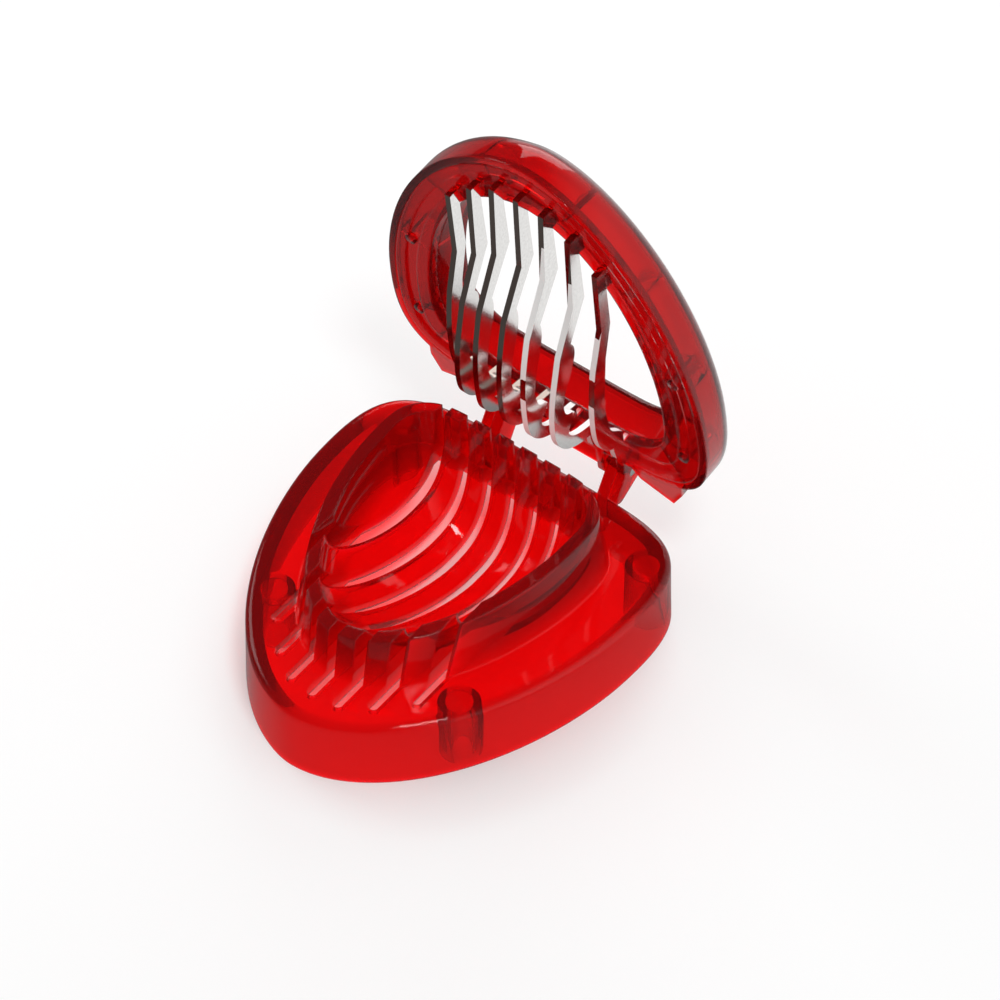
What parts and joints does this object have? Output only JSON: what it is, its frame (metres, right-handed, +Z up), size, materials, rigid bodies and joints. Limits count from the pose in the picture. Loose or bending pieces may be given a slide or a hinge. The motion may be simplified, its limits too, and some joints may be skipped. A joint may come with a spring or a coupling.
{
  "type": "strawberry slicer",
  "caption": "Hinged fruit slicer with a berry-shaped see-through base and bowl, and a lid ring that carries a row of parallel steel blades through slots",
  "frame": {"origin": "On the table, under the middle of the open slicer's box", "axes": "+X along the hinge, -Y toward the pointed end of the base, +Z up"},
  "size_m": [0.076, 0.091, 0.1027],
  "materials": {
    "red_plastic": "glossy clear red moulded plastic",
    "blade_steel": "fine brushed stainless steel",
    "pin_steel": "drawn stainless steel"
  },
  "bodies": {
    "base": {"base_tray": "red_plastic"},
    "lid": {"lid_shell": "red_plastic", "blade_ring": "red_plastic", "blade_1": "blade_steel", "blade_2": "blade_steel", "blade_3": "blade_steel", "blade_4": "blade_steel", "blade_5": "blade_steel", "blade_6": "blade_steel", "blade_7": "blade_steel", "hinge_pin_left": "pin_steel", "hinge_pin_right": "pin_steel"}
  },
  "joints": [
    {"name": "lid_hinge", "type": "hinge", "parent": "base", "child": "lid", "pos_m": [0, 0.03977, 0.01846], "axis": [1, 0, 0], "range_deg": [0, 81.7]}
  ]
}
